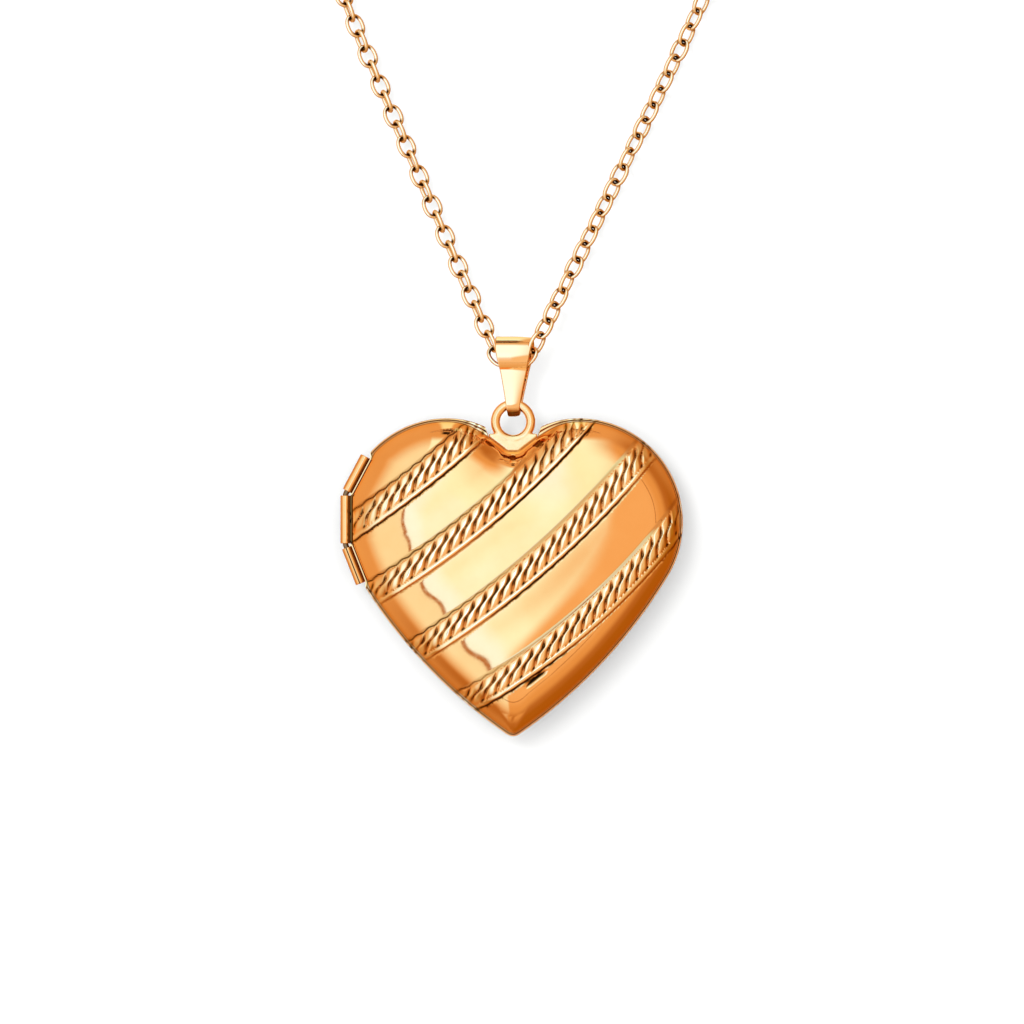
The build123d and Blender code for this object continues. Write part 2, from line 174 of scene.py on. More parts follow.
def metal(name, light, dark, rough, grain, stretch=(1, 1, 1), marks=()):
    """Polished metal: its tone drifts a little and it has fine wear marks.

    grain is the wear marks' depth in mm. Each of marks is a point attribute, the values where its
    colour begins and is complete, and that colour. These colours are painted shade and painted
    highlight, with a dark seam line on the knuckles.
    """
    material, tree, shader = node_tree(name)
    shader.inputs["Metallic"].default_value = 1.0
    shader.inputs["Specular Tint"].default_value = EDGE_TINT
    tone = remap(tree, noise(tree, 260, 4), 0.3, 0.7, 0, 1)
    colour = blend_colours(tree, tone, dark, light)
    for attribute, low, high, mark_colour in marks:
        value = add_node(tree, "Attribute", {}, attribute_name=attribute).outputs["Fac"]
        colour = blend_colours(tree, remap(tree, value, low, high, 0, 1), colour, mark_colour)
    tree.links.new(colour, shader.inputs["Base Color"])
    wear = noise(tree, 2600, 5, stretch, 0.7)
    wear_and_shade = remap(tree, wear, 0.35, 0.7, rough * 0.75, rough * 1.5)
    tree.links.new(wear_and_shade, shader.inputs["Roughness"])
    tree.links.new(bump(tree, wear, grain * MM, 0.35), shader.inputs["Normal"])
    return material


ROSE_LIGHT = (1.0, 0.585, 0.275)
ROSE_DARK = (0.97, 0.53, 0.225)
CHAIN_LIGHT = (1.0, 0.86, 0.68)
CHAIN_DARK = (0.99, 0.80, 0.58)
# Painted shade: brown, then near black, laid in hollows, along edges and where parts meet; on the
# knuckles the same colours also darken the real seam line.
SHADE_AND_SEAM_MARKS = (
    ("shade_and_seam", 0.0, 0.4, (0.42, 0.17, 0.04)),
    ("shade_and_seam", 0.35, 0.75, (0.010, 0.004, 0.0015)),
)
# Painted highlight: a paler gold laid on the strands' crests and on the ridge below each stripe.
PAINTED_HIGHLIGHT_MARK = ("painted_highlight", 0.0, 1.0, (1.0, 0.84, 0.60))
DRAWN = (1, 0.15, 1)                  # wear marks drawn out along y
rose_gold = metal("rose_gold", ROSE_LIGHT, ROSE_DARK, 0.055, 0.0012)
embossed_gold = metal("embossed_gold", ROSE_LIGHT, ROSE_DARK, 0.055, 0.0012,
                      marks=(PAINTED_HIGHLIGHT_MARK, *SHADE_AND_SEAM_MARKS))
# Knuckle gold: wear marks drawn along y, painted shade on the tubes' flanks and a dark seam line.
seam_and_shade_gold = metal("seam_and_shade_gold", ROSE_LIGHT, ROSE_DARK, 0.075, 0.0016, DRAWN, SHADE_AND_SEAM_MARKS)
bail_gold = metal("bail_gold", (1.0, 0.70, 0.43), (1.0, 0.66, 0.38), 0.075, 0.0016, DRAWN,
                  SHADE_AND_SEAM_MARKS)
cast_gold = metal("cast_gold", (1.0, 0.66, 0.36), (0.97, 0.59, 0.29), 0.17, 0.004)
chain_gold = metal("chain_gold", CHAIN_LIGHT, CHAIN_DARK, 0.10, 0.0012)
link_gold = metal("link_gold", CHAIN_LIGHT, CHAIN_DARK, 0.10, 0.0012, marks=SHADE_AND_SEAM_MARKS)
brass = metal("lining_brass", (0.86, 0.62, 0.36), (0.78, 0.53, 0.28), 0.32, 0.004, (1, 14, 1))
steel = metal("spring_steel", (0.66, 0.65, 0.64), (0.52, 0.51, 0.50), 0.25, 0.003)


def card_material():
    material, tree, shader = node_tree("photo_card")
    fibre = noise(tree, 3000, 6, rough=0.65)
    tone = remap(tree, fibre, 0.3, 0.7, 0, 1)
    colour = blend_colours(tree, tone, (0.50, 0.46, 0.40), (0.57, 0.53, 0.47))
    tree.links.new(colour, shader.inputs["Base Color"])
    tree.links.new(remap(tree, fibre, 0.3, 0.7, 0.75, 0.95), shader.inputs["Roughness"])
    tree.links.new(bump(tree, fibre, 0.01 * MM, 0.5), shader.inputs["Normal"])
    return material


def window_material():
    material, tree, shader = node_tree("clear_window")
    shader.inputs["Base Color"].default_value = (0.97, 0.98, 0.98, 1)
    shader.inputs["Transmission Weight"].default_value = 1.0
    shader.inputs["IOR"].default_value = 1.46
    smear = noise(tree, 420, 4, rough=0.6)
    tree.links.new(remap(tree, smear, 0.35, 0.7, 0.02, 0.09), shader.inputs["Roughness"])
    tree.links.new(bump(tree, smear, 0.003 * MM, 0.4), shader.inputs["Normal"])
    return material


photo_card = card_material()
clear_window = window_material()
# Painted shade: the hinge pin is dark brown, so the gaps between the knuckles look shaded.
pin_painted_shade = metal("pin_painted_shade", (0.26, 0.17, 0.10), (0.18, 0.11, 0.07), 0.3, 0.003)
SLOT_MATERIALS = {
    "rose_gold": rose_gold,
    "chain_gold": chain_gold,
    "lining_brass": brass,
    "spring_steel": steel,
    "clear_window": clear_window,
    "photo_card": photo_card,
}
for part in frame["record"]["subparts"]:
    node = frame["nodes"][part["node"]]
    node.data.materials.clear()
    finish = pin_painted_shade if part["node"] == "hinge_pin" else SLOT_MATERIALS[part["material_slot"]]
    node.data.materials.append(finish)


# ---- rings and castings
UP = np.array([0, 0, 1.0])


def wire_ring(outward, sides):
    """Normals of a wire's section at each point of a ring in the x-y plane."""
    s = np.arange(sides) / sides * TAU
    return outward[:, None] * np.cos(s)[None, :, None] + UP * np.sin(s)[None, :, None]


def torus_piece(name, node, axis, ring_r, wire, split):
    """A round wire ring in a node's place, with a fine cut across the wire at an angle."""
    low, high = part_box(node)
    centre = [(a + b) / 2 / MM for a, b in zip(low, high)]
    axis = Vector(axis).normalized()
    turn = np.array(axis.to_track_quat("Z", "Y").to_matrix())
    around, sides = 72, 20
    cut_width, cut_depth = 0.05, 0.16
    t = np.arange(around) / around * TAU
    off = (t - split + math.pi) % TAU - math.pi
    radius = wire * (1 - cut_depth * np.exp(-(off * ring_r / cut_width) ** 2))
    outward = np.stack([np.cos(t), np.sin(t), 0 * t], 1)
    normal = wire_ring(outward, sides)
    points = outward[:, None] * ring_r + normal * radius[:, None, None]
    points = points.reshape(-1, 3) @ turn.T + np.asarray(centre)
    mesh_piece(name, points, ring_faces(around, sides, True), "chain", chain_gold,
               normal.reshape(-1, 3) @ turn.T, [node])


def cast(name, shapes, voxel, smoothing, body, node):
    """Closed shapes in mm melted into one casting with soft corners."""
    mesh = bpy.data.meshes.new(name + "_rough")
    points, faces = [], []
    for shape_points, shape_faces in shapes:
        faces += [tuple(i + len(points) for i in face) for face in shape_faces]
        points += [tuple(map(float, point)) for point in shape_points]
    mesh.from_pydata(points, [], faces)
    obj = bpy.data.objects.new(name + "_rough", mesh)
    scene.collection.objects.link(obj)
    remesh = obj.modifiers.new("remesh", "REMESH")
    remesh.mode = "VOXEL"
    remesh.voxel_size = voxel
    smooth = obj.modifiers.new("smooth", "SMOOTH")
    smooth.factor = 0.5
    smooth.iterations = smoothing
    solid = evaluated_mesh(obj)
    bpy.data.objects.remove(obj)
    bpy.data.meshes.remove(mesh)
    vertices = [tuple(vertex.co) for vertex in solid.vertices]
    polygons = [tuple(polygon.vertices) for polygon in solid.polygons]
    bpy.data.meshes.remove(solid)
    mesh_piece(name, vertices, polygons, body, cast_gold, None, [node])


def prism(outline, low, high):
    """A closed block with an outline, counter-clockwise, between two heights."""
    count = len(outline)
    points = [(x, y, low) for x, y in outline] + [(x, y, high) for x, y in outline]
    faces = [tuple(reversed(range(count))), tuple(range(count, 2 * count))]
    faces += [(i, (i + 1) % count, count + (i + 1) % count, count + i) for i in range(count)]
    return points, faces


def softened(name, voxel, smoothing, body, node):
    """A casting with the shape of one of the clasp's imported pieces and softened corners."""
    source = frame["nodes"][node].data
    points = [tuple(vertex.co / MM) for vertex in source.vertices]
    faces = [tuple(polygon.vertices) for polygon in source.polygons]
    cast(name, [(points, faces)], voxel, smoothing, body, node)


softened("clasp_casting", 0.06, 6, "chain", "clasp_body")
softened("clasp_lever", 0.045, 4, "trigger", "clasp_trigger")
JUMP_R, JUMP_WIRE = 1.08, 0.2
END_R, END_WIRE = 1.9, 0.3
RING_TILT = math.radians(-5.3)
END_AXIS = (0, -math.sin(RING_TILT), math.cos(RING_TILT))
torus_piece("clasp_ring", "clasp_jump_ring", (1, 0, 0), JUMP_R, JUMP_WIRE, 0.6)
torus_piece("end_joining_ring", "end_jump_ring", (1, 0, 0), JUMP_R, JUMP_WIRE, 2.2)
torus_piece("end_loop", "end_ring", END_AXIS, END_R, END_WIRE, 4.0)

# ---- chain
LINK_WIDE = 1.74
LINK_PLAY = 0.03
WIRE = 0.36
COIL_X, COIL_Y = 1.0, 65.0
FLOOR_Z, UPPER_Z = 0.95, 2.85
LEFT_START = [
    (0.0, 17.55, 1.7), (-1.05, 17.4, 1.6), (-1.85, 18.9, 1.35), (-5.9, 28.3, 0.95),
    (-14.9, 49.1, 0.95), (-16.4, 54.5, 0.95), (-15.9, 60.0, 0.95),
]
RIGHT_START = [
    (0.0, 17.55, 1.7), (1.15, 17.3, 1.9), (2.0, 18.8, 2.9), (3.3, 21.5, 1.9),
    (6.9, 28.9, 0.95), (16.9, 49.4, 0.95), (18.6, 54.6, 1.3), (18.0, 60.5, 2.3),
]
LEFT_END = [(1.9, 55.7, 0.95), (-1.75, 55.5, 0.95), (-1.8, 58.2, 1.1), (-1.8, 60.6, 1.28)]
RIGHT_END = [(1.6, 56.1, 2.85), (4.5, 56.2, 2.5), (4.6, 59.0, 1.7), (4.6, 63.3, 1.28)]


def coil_points(first, last, r_first, r_last, z):
    """Turns of a coil as points, 14 to a turn, from one angle to another in degrees."""
    count = int(abs(last - first) / 360 * 14)
    points = []
    for k in range(count + 1):
        t = k / count
        angle = math.radians(first + (last - first) * t)
        r = r_first + (r_last - r_first) * t + 0.12 * math.sin(5.3 * angle)
        points.append((COIL_X + r * math.cos(angle), COIL_Y + r * math.sin(angle), z))
    return points


def route_line(name, points):
    """The NURBS route's own line, as points read from its spline, in mm."""
    data = bpy.data.curves.new(name, "CURVE")
    data.dimensions = "3D"
    spline = data.splines.new("NURBS")
    spline.points.add(len(points) - 1)
    for point, place in zip(spline.points, points):
        point.co = (*place, 1)
    spline.order_u = 3
    spline.use_endpoint_u = True
    spline.resolution_u = 10
    obj = bpy.data.objects.new(name, data)
    scene.collection.objects.link(obj)
    mesh = evaluated_mesh(obj)
    line = np.array([v.co for v in mesh.vertices], float)
    bpy.data.objects.remove(obj)
    bpy.data.curves.remove(data)
    bpy.data.meshes.remove(mesh)
    return line


def link_template(length, segments=28, sides=10):
    """One oval link, long along x, wide along y: points, normals, faces, and painted shade where
    the next links pass.
    """
    a, b = (length - WIRE) / 2, (LINK_WIDE - WIRE) / 2
    t = np.arange(segments) / segments * TAU
    power = 0.88
    cx = a * np.sign(np.cos(t)) * np.abs(np.cos(t)) ** power
    cy = b * np.sign(np.sin(t)) * np.abs(np.sin(t)) ** power
    centre = np.stack([cx, cy, 0 * t], 1)
    tangent = np.roll(centre, -1, 0) - np.roll(centre, 1, 0)
    tangent /= np.linalg.norm(tangent, axis=1)[:, None]
    normal = wire_ring(np.stack([tangent[:, 1], -tangent[:, 0], 0 * t], 1), sides)
    points = centre[:, None] + normal * WIRE / 2
    faces = [face[::-1] for face in ring_faces(segments, sides, True)]
    # Painted shade on the wire's inner side near the link's ends, where the next links pass
    # through.
    inside = np.clip(0.35 - np.cos(np.arange(sides) / sides * TAU), 0, 1)
    at_ends = np.clip((np.abs(cx) - a + 0.42) / 0.25, 0, 1)
    contact_shade = inside[None, :] * at_ends[:, None]
    return points.reshape(-1, 3), normal.reshape(-1, 3), faces, contact_shade.reshape(-1)


def chain_piece(name, line, first, pitch, rolls, body, nodes):
    """Interlocked links along a line; rolls gives each link's turn about the line."""
    steps = np.linalg.norm(np.diff(line, axis=0), axis=1)
    at = np.concatenate([[0], np.cumsum(steps)])
    count = int((at[-1] - first) / pitch)
    shape, shape_normals, shape_faces, contact_shade = link_template(pitch + 2 * WIRE + LINK_PLAY)

    def point_at(s):
        return np.array([np.interp(s, at, line[:, i]) for i in range(3)])

    points, normals, faces = [], [], []
    for k in range(count + 1):
        s = first + k * pitch
        place = point_at(s)
        along = point_at(s + pitch / 2) - point_at(s - pitch / 2)
        along /= np.linalg.norm(along)
        side = np.cross(along, UP)
        side /= np.linalg.norm(side)
        up = np.cross(side, along)
        roll = math.radians(rolls(k))
        wide = side * math.cos(roll) + up * math.sin(roll)
        turn = np.stack([along, wide, np.cross(along, wide)])
        points.append(shape @ turn + place)
        normals.append(shape_normals @ turn)
        start = k * len(shape)
        faces += [[i + start for i in face] for face in shape_faces]
    piece = mesh_piece(name, np.concatenate(points), faces, body, link_gold,
                       np.concatenate(normals), nodes)
    # Painted shade where the links meet.
    point_values(piece.data, "shade_and_seam", np.tile(contact_shade, count + 1))
    return piece


left_route = LEFT_START + coil_points(172, -802, 14.2, 9.2, FLOOR_Z) + LEFT_END
right_route = RIGHT_START + coil_points(6, 978, 14.1, 9.2, UPPER_Z) + RIGHT_END
left_line = route_line("left_route", left_route)
right_line = route_line("right_route", right_route)
LEFT_PITCH, RIGHT_PITCH = 1.44, 1.52


def left_roll(k):
    wander = 5 * math.sin(1.9 * k) + 4 * math.sin(0.7 * k + 1)
    return (72 if k % 2 == 0 else -18) + wander


def right_roll(k):
    wander = 5 * math.sin(1.7 * k + 2) + 4 * math.sin(0.9 * k)
    return (42 if k % 2 == 0 else -48) + wander


chain_left = chain_piece("chain_left", left_line, 0.0, LEFT_PITCH, left_roll, "chain",
                         ("chain_left_strand", "chain_coil"))
chain_right = chain_piece("chain_right", right_line, RIGHT_PITCH, RIGHT_PITCH, right_roll, "chain",
                          ("chain_right_strand",))

# ---- heart outline
LOBE_R, INNER_R, SIDE_R, TIP_R, CLEFT_R = 9.1, 7.6, 45.0, 0.9, 0.5
LOBE_X, LOBE_Y, APEX_Y = 5.75, 3.3, -15.6
INNER_Y = LOBE_Y + LOBE_R - INNER_R
CLEFT_Y = INNER_Y + math.sqrt((INNER_R + CLEFT_R) ** 2 - LOBE_X ** 2)
RIM, RIM_H, WALL = 0.28, 0.32, 0.35


def side_join():
    """Angle at the lobe's centre where the lobe runs into the long side arc."""
    gap, rise = SIDE_R - LOBE_R, LOBE_Y - APEX_Y
    reach = math.hypot(LOBE_X, rise)
    swing = math.acos((reach ** 2 + gap ** 2 - SIDE_R ** 2) / (2 * gap * reach))
    return math.atan2(rise, LOBE_X) - swing


JOIN = side_join()
SIDE_X = LOBE_X + (LOBE_R - SIDE_R) * math.cos(JOIN)
SIDE_Y = LOBE_Y + (LOBE_R - SIDE_R) * math.sin(JOIN)
TO_CLEFT = math.atan2(CLEFT_Y - INNER_Y, -LOBE_X)


def tip_centre(inset):
    """Height and radius of the tip's arc, and the angle where it meets the side arc."""
    radius = max(TIP_R - inset, 0.12)
    y = SIDE_Y - math.sqrt((SIDE_R - inset - radius) ** 2 - SIDE_X ** 2)
    return y, radius, math.atan2(y - SIDE_Y, -SIDE_X)


def heart_ring(inset):
    """The outline moved inward by inset, as points in mm, clockwise from the cleft."""
    tip_y, tip_r, foot = tip_centre(inset)
    half = math.pi / 2
    arcs = [
        ((0, CLEFT_Y), CLEFT_R + inset, -half, TO_CLEFT - math.pi, 10),
        ((LOBE_X, INNER_Y), INNER_R - inset, TO_CLEFT, half, 30),
        ((LOBE_X, LOBE_Y), LOBE_R - inset, half, JOIN, 90),
        ((SIDE_X, SIDE_Y), SIDE_R - inset, JOIN, foot, 90),
        ((0, tip_y), tip_r, foot, -half, 10),
    ]
    right = []
    for (x, y), radius, first, last, count in arcs:
        angle = np.linspace(first, last, count, endpoint=False)
        right.append(np.stack([x + radius * np.cos(angle), y + radius * np.sin(angle)], 1))
    right = np.concatenate(right + [np.array([[0, tip_y - tip_r]])])
    left = right[-2:0:-1] * (-1, 1)
    return np.concatenate([right, left])


def arc_gap(x, y, centre, radius, low, high):
    """Distance in from an arc, or from its nearer end beyond it."""
    dx, dy = x - centre[0], y - centre[1]
    out = np.hypot(dx, dy)
    off = (np.arctan2(dy, dx) - (low + high) / 2 + math.pi) % TAU - math.pi
    half = (high - low) / 2
    end = (low + high) / 2 + np.sign(off) * half
    past = np.hypot(dx - radius * np.cos(end), dy - radius * np.sin(end))
    return np.where(np.abs(off) > half, past, radius - out)


TIP_Y, TIP_ARC, TIP_FOOT = tip_centre(0)


def half_gap(x, y):
    """Distance in from the right half of the outline, without the cleft and tip."""
    lobe = arc_gap(x, y, (LOBE_X, LOBE_Y), LOBE_R, JOIN, math.pi / 2)
    inner = arc_gap(x, y, (LOBE_X, INNER_Y), INNER_R, math.pi / 2, TO_CLEFT)
    side = arc_gap(x, y, (SIDE_X, SIDE_Y), SIDE_R, TIP_FOOT, JOIN)
    return np.minimum(np.minimum(lobe, inner), side)


def soft_min(a, b, width):
    h = np.maximum(width - np.abs(a - b), 0) / np.maximum(width, 1e-6)
    return np.minimum(a, b) - h * h * width / 4


def ramp(value, low, high):
    """0 below low, 1 above high, smooth between."""
    t = np.clip((value - low) / (high - low), 0, 1)
    return t * t * (3 - 2 * t)


def outline_gap(x, y, soft=0.0):
    """Distance in from the heart's outline; soft rounds the ridge on the centre line."""
    right, left = half_gap(x, y), half_gap(-x, y)
    cleft = np.hypot(x, y - CLEFT_Y) - CLEFT_R
    tip = arc_gap(x, y, (0, TIP_Y), TIP_ARC, -math.pi - TIP_FOOT, TIP_FOOT)
    if soft:
        width = soft * ramp(-y, -6, 4) * np.clip(np.minimum(right, left) / 1.5, 0.02, 1)
        return np.minimum(np.minimum(soft_min(right, left, width), cleft), tip)
    return np.minimum(np.minimum(np.minimum(right, left), cleft), tip)


# ---- hinge line
HINGE_X, HINGE_TOP, HINGE_LOW = -14.65, 5.75, 1.35
KNUCKLE_R = 0.45
UPPER_LEAN, UPPER_START, UPPER_END = 27.8, 0.32, 3.75
LOWER_LEAN, LOWER_START, LOWER_END = 21.4, 0.28, 3.65


def upper_at(distance):
    """The place on the hinge's leaning upper part, by distance from its bend."""
    angle = math.radians(UPPER_LEAN)
    return np.array([HINGE_X + distance * math.sin(angle), HINGE_TOP + distance * math.cos(angle)])


def lower_at(distance):
    """The same on its lower part."""
    angle = math.radians(LOWER_LEAN)
    return np.array([HINGE_X + distance * math.sin(angle), HINGE_LOW - distance * math.cos(angle)])


HINGE_LINE = [upper_at(UPPER_END), upper_at(0), lower_at(0), lower_at(LOWER_END)]


def hinge_gap(x, y):
    """Distance from the hinge's bent line."""
    gaps = []
    for start, end in zip(HINGE_LINE, HINGE_LINE[1:]):
        way = end - start
        t = np.clip(((x - start[0]) * way[0] + (y - start[1]) * way[1]) / (way @ way), 0, 1)
        gaps.append(np.hypot(x - start[0] - t * way[0], y - start[1] - t * way[1]))
    return np.minimum.reduce(gaps)


# ---- front cover
EDGE, EDGE_H, CROWN, CROWN_RUN = 3.0, 2.35, 1.05, 6.5
STRIPES = (                            # centre x, centre y and radius of each stripe's curve
    (-58.85, 71.65, 81.97),
    (-48.15, 58.28, 70.88),
    (-50.19, 59.90, 79.54),
    (-32.91, 39.96, 59.58),
)
STRAND_PITCH = 1.30
STRIPE_HALF = 1.2                      # half width of a stripe with its edges
NOTCH = 2.15                           # half width of the covers' notch for the eyelet
PANEL_SAG, PANEL_TILT = 0.02, 0.10
DENT_X, DENT_Y, DENT_ANGLE = 1.93, -10.15, 38.0
SOFT_EDGE = 0.09                       # rounding of a cover's outer edge


def rim_width(x, y):
    """Width of the flat rim: wider on each side of the cleft."""
    near = np.exp(-((np.abs(x) - 1.6) / 2.0) ** 2) * ramp(y, 8.0, 9.5)
    return RIM + 0.40 * near


def dome_run(x, y):
    """Distance in from the dome's foot."""
    run = outline_gap(x, y, 1.6) - rim_width(x, y)
    return soft_min(run, hinge_gap(x, y) - 0.56, 0.35)


def dome_rise(run, edge_h):
    corner = 1 - np.clip(run, 0, EDGE) / EDGE
    slope = 1 - np.clip(run, 0, CROWN_RUN) / CROWN_RUN
    return edge_h * np.sqrt(np.maximum(0, 1 - corner ** 2)) + CROWN * (1 - slope ** 2)


def stripe_place(x, y, stripe):
    """Distance along and across a stripe's curve."""
    dx, dy = x - stripe[0], y - stripe[1]
    return stripe[2] * np.arctan2(dy, dx), np.hypot(dx, dy) - stripe[2]


def strand_phase(along, across):
    lean = 0.95 * across + 0.35 * np.tanh((across + 0.15) / 0.13)
    return ((along + lean) / STRAND_PITCH) % 1


def strand_profile(phase):
    """A strand's height across its own width: a gentle left flank and a steep right one."""
    left = 1 - np.clip(1 - phase / 0.42, 0, 1) ** 2.2
    right = np.clip((phase - 0.42) / 0.58, 0, 1) ** 4.5
    return left - right


def rope(along, across):
    """Height of the rope twist and its two smooth edges."""
    strand = strand_profile(strand_phase(along, across))
    width = np.clip(1 - np.abs((across + 0.04) / 0.84) ** 3, 0, 1) ** 0.6
    bed = 0.09 * ramp(across, -1.25, -0.8) * (1 - ramp(across, 1.12, 1.20))
    ridge = 0.11 * np.sqrt(np.clip(1 - ((across - 0.96) / 0.22) ** 2, 0, 1))
    groove = -0.05 * np.exp(-((across - 1.24) / 0.06) ** 2)
    return bed + ridge + groove + width * (0.25 * strand - 0.07)


def stripe_shade_and_highlight(x, y):
    """Painted shade beside strands, ridges, the dent, rim, edge and hinge, and painted highlight on
    crests, 0 to 1.
    """
    dark, bright = np.zeros_like(x), np.zeros_like(x)
    left_part = 1 - ramp(x, -9, 6)
    for stripe in STRIPES:
        along, across = stripe_place(x, y, stripe)
        phase = strand_phase(along, across)
        on_strand = np.exp(-((across + 0.08) / 0.66) ** 6)
        groove = np.minimum(np.abs(phase - 0.93), 1 - np.abs(phase - 0.93))
        # Painted shade: a black line in each groove, a darker side, a dark spot and dark lines
        # along both ridges.
        core = np.exp(-(groove / 0.085) ** 2) * np.exp(-((across + 0.20) / 0.50) ** 4)
        shade = 0.30 * ramp(phase, 0.62, 0.86) * on_strand
        spot = np.exp(-((phase - 0.90) / 0.12) ** 2 - ((across - 0.68) / 0.10) ** 2)
        wobble = 0.03 * np.sin(TAU * along / STRAND_PITCH)
        patchy = 0.3 + 0.7 * ramp(np.sin(along * 0.23 + stripe[2]), -0.6, 0.4)
        below = np.exp(-((across - 1.22 - wobble) / 0.075) ** 2) * patchy
        above = 0.9 * np.exp(-((across + 1.02 + 2 * wobble) / 0.06) ** 2) * left_part
        band = 0.20 * np.exp(-((across + 1.06) / 0.17) ** 4)
        lines = np.maximum.reduce([core, shade, spot, below, above, band])
        dark = np.maximum(dark, lines * (np.abs(across) < 1.5))
        # Painted highlight on each strand's crest and on the lower ridge.
        crest = ramp(phase, 0.05, 0.25) * (1 - ramp(phase, 0.55, 0.72)) * on_strand
        edge = 0.8 * np.exp(-((across - 0.93) / 0.16) ** 4)
        bright = np.maximum(bright, np.maximum(crest, edge))
    # Painted shade in the dent.
    dark = np.maximum(dark, ramp(dent(x, y), 0.07, 0.15))
    gap, run = outline_gap(x, y), dome_run(x, y)
    # Painted shade along the rim's line, the dome's foot, the outer edge and the hinge side.
    rim_line = np.exp(-((gap - 0.60 * rim_width(x, y)) / 0.04) ** 2) * (run < 0.02)
    foot_line = np.exp(-((run - 0.02) / 0.05) ** 2)
    edge_line = 1 - ramp(gap, 0.015, 0.05)
    hinge_side = 1 - ramp(hinge_gap(x, y) - 0.48, 0.02, 0.30)
    dark = np.maximum.reduce([dark, 0.62 * rim_line, 0.42 * foot_line, 0.30 * edge_line,
                              0.62 * hinge_side])
    return np.clip(dark, 0, 1), np.clip(bright, 0, 1)


def dent(x, y):
    """Depth of the long shallow nick just below the last stripe's left part."""
    turn = math.radians(DENT_ANGLE)
    u = (x - DENT_X) * math.cos(turn) + (y - DENT_Y) * math.sin(turn)
    v = (y - DENT_Y) * math.cos(turn) - (x - DENT_X) * math.sin(turn) + 0.05 * u * u
    return 0.16 * np.exp(-(u / 1.25) ** 4 - ((v + 0.05) / 0.22) ** 2)


def rim_relief(x, y, run, line_depth):
    """Depth of a cover's rounded outer edge and of the fine line along its rim."""
    gap = outline_gap(x, y)
    over = 1 - np.clip(gap, 0, SOFT_EDGE) / SOFT_EDGE
    rounding = SOFT_EDGE * (1 - np.sqrt(np.clip(1 - over ** 2, 0, 1)))
    line = np.exp(-((gap - 0.60 * rim_width(x, y)) / 0.035) ** 2) * (run < 0)
    return rounding + line_depth * line


def panel_place(above, below):
    """0 at a panel's upper stripe to 1 at its lower one, from its distances across both."""
    width = np.maximum(above - below - 2 * STRIPE_HALF, 0.1)
    return np.clip((above - STRIPE_HALF) / width, 0, 1)


def front_height(x, y):
    """Height of the lid's outer surface above the seam."""
    run = dome_run(x, y)
    height = RIM_H + dome_rise(run, EDGE_H)
    places = [stripe_place(x, y, stripe) for stripe in STRIPES]
    fade = ramp(run, 0.02, 0.75)
    for along, across in places:
        height = height + np.where(np.abs(across) < 1.4, rope(along, across), 0) * fade
    panels = [panel_place(above, below) for (_, above), (_, below) in zip(places, places[1:])]
    for panel in panels:
        height = height - PANEL_SAG * np.sin(math.pi * panel) ** 2 * ramp(run, 1, 4)
    height = height - PANEL_TILT * panels[-1] * ramp(x, -1.5, 6.5) * ramp(run, 0.3, 3.5)
    cleft_hollow = 0.16 * np.exp(-(x / 0.45) ** 2 - ((y - 9.0) / 0.55) ** 2)
    return height - cleft_hollow - dent(x, y) - rim_relief(x, y, run, 0.09)


def hinge_room(y, side):
    """How far a cover's edge stays from the hinge line: it meets its own knuckles."""
    middle = ramp(y, HINGE_LOW + 0.02, HINGE_LOW + 0.10)
    middle = middle * (1 - ramp(y, HINGE_TOP - 0.10, HINGE_TOP - 0.02))
    if side > 0:
        return 0.54 - 0.11 * middle
    low_bend = np.exp(-((y - HINGE_LOW + 0.16) / 0.16) ** 4)
    top_bend = np.exp(-((y - HINGE_TOP - 0.16) / 0.16) ** 4)
    return 0.43 + 0.11 * middle - 0.15 * (low_bend + top_bend)


def lid_gap(x, y, side):
    """Distance in from a cover's own edge, with the hinge side and the notch cut away."""
    gap = outline_gap(x, y)
    gap = np.where((np.abs(x) < NOTCH) & (y > 8), gap - rim_width(x, y), gap)
    return np.minimum(gap, hinge_gap(x, y) - hinge_room(y, side))


POLE = (0.0, 1.5)                      # middle of the covers' meshes


def edge_level(x, y, side):
    """Rows of a cover's mesh follow this: 0 at its edge, RIM at the dome's foot."""
    gap, run = lid_gap(x, y, side), dome_run(x, y)
    flat = np.maximum(gap - run, 1e-4)
    return np.where(run < 0, RIM * gap / flat, RIM + run)


def cover_lattice(level_at, side, rays, levels, rings):
    """Points from the cover's edge to its middle: rows at set levels, then even ones."""
    angle = np.arange(rays) / rays * TAU
    directions = np.stack([np.cos(angle), np.sin(angle)], 1)
    radii = np.linspace(5, 19, 2000)
    x, y = (POLE[i] + directions[:, i:i + 1] * radii for i in (0, 1))
    values = level_at(x, y, side)
    first = np.argmax(values < 0, axis=1)
    rows = []
    for i in range(rays):
        falling = np.minimum.accumulate(values[i, :first[i] + 1])
        rows.append(np.interp(-np.asarray(levels), -falling, radii[:first[i] + 1]))
    out = np.array(rows).T
    rest = [out[-1] + (0.25 - out[-1]) * k / rings for k in range(1, rings + 1)]
    out = np.concatenate([out, rest])
    return POLE[0] + out * directions[:, 0], POLE[1] + out * directions[:, 1]


def surface_normals(height, x, y):
    """Upward unit normals of a height function."""
    e = 0.012
    gx = (height(x + e, y) - height(x - e, y)) / (2 * e)
    gy = (height(x, y + e) - height(x, y - e)) / (2 * e)
    n = np.stack([-gx, -gy, np.ones_like(gx)], -1)
    return n / np.linalg.norm(n, axis=-1, keepdims=True)


def halved(levels):
    """The levels with one more between each two."""
    levels = np.asarray(levels, float)
    return np.sort(np.concatenate([levels, (levels[1:] + levels[:-1]) / 2]))


